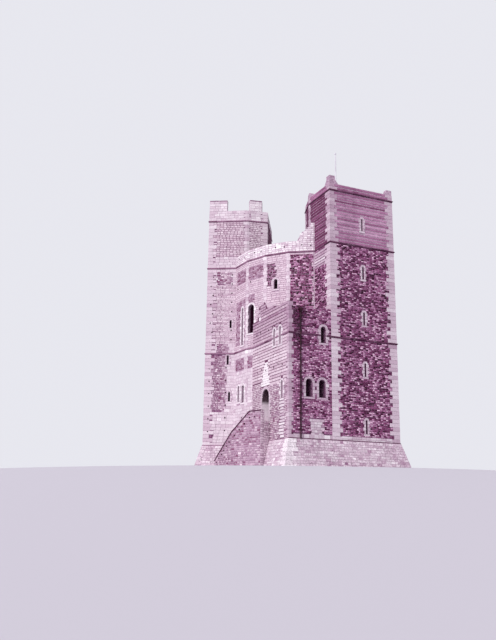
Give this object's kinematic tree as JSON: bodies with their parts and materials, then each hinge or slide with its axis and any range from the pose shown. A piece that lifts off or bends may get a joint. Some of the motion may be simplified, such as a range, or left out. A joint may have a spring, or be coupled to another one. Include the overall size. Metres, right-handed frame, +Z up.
{
  "type": "castle keep",
  "caption": "Stone tower keep: a many-sided drum clasped by square turrets on a battered plinth, with a forebuilding and an outside stair to its arched entrance.",
  "frame": {"origin": "middle of the drum at ground level", "axes": "+Z up, -Y towards the turret that carries the forebuilding, +X to the right of that turret seen from outside"},
  "size_m": [21.8768, 18.9458, 28.9],
  "materials": {
    "ashlar": "dressed pale stone, weathered",
    "rubble": "dark split rubble with pale mortar",
    "coursed_stone": "thin coursed stone",
    "stair_rubble": "worn rubble and mortar",
    "floor_boards": "boards",
    "roof_lead": "grey sheet",
    "pipe_iron": "dark iron",
    "pole_paint": "white paint"
  },
  "bodies": {
    "root": {"ground_floor": "ashlar", "lower_hall_floor": "floor_boards", "upper_hall_floor": "floor_boards", "drum_roof": "roof_lead", "drum_plinth": "ashlar", "turret_plinths": "ashlar", "fore_plinth": "ashlar", "southwest_lower_wall": "coursed_stone", "north_lower_wall": "coursed_stone", "southeast_lower_wall": "coursed_stone", "southwest_upper_wall": "coursed_stone", "north_upper_wall": "coursed_stone", "southeast_upper_wall": "coursed_stone", "drum_parapet": "coursed_stone", "south_front_wall": "rubble", "south_side_walls": "rubble", "south_inner_wall": "coursed_stone", "south_turret_top": "coursed_stone", "south_parapet": "coursed_stone", "west_front_wall": "rubble", "west_side_walls": "rubble", "west_inner_wall": "coursed_stone", "west_turret_top": "coursed_stone", "west_parapet": "coursed_stone", "east_front_wall": "rubble", "east_side_walls": "rubble", "east_inner_wall": "coursed_stone", "east_turret_top": "coursed_stone", "east_parapet": "coursed_stone", "turret_floors": "floor_boards", "turret_roofs": "roof_lead", "fore_front_wall": "rubble", "fore_side_wall": "coursed_stone", "entrance_arch": "ashlar", "fore_floors": "floor_boards", "fore_roof": "roof_lead", "middle_string_course": "ashlar", "upper_string_course": "ashlar", "turret_string_courses": "ashlar", "lower_flight": "ashlar", "upper_flight": "ashlar", "stair_landing": "ashlar", "stair_side_wall": "stair_rubble", "rainwater_pipe": "pipe_iron", "flagpole": "pole_paint"}
  },
  "joints": []
}
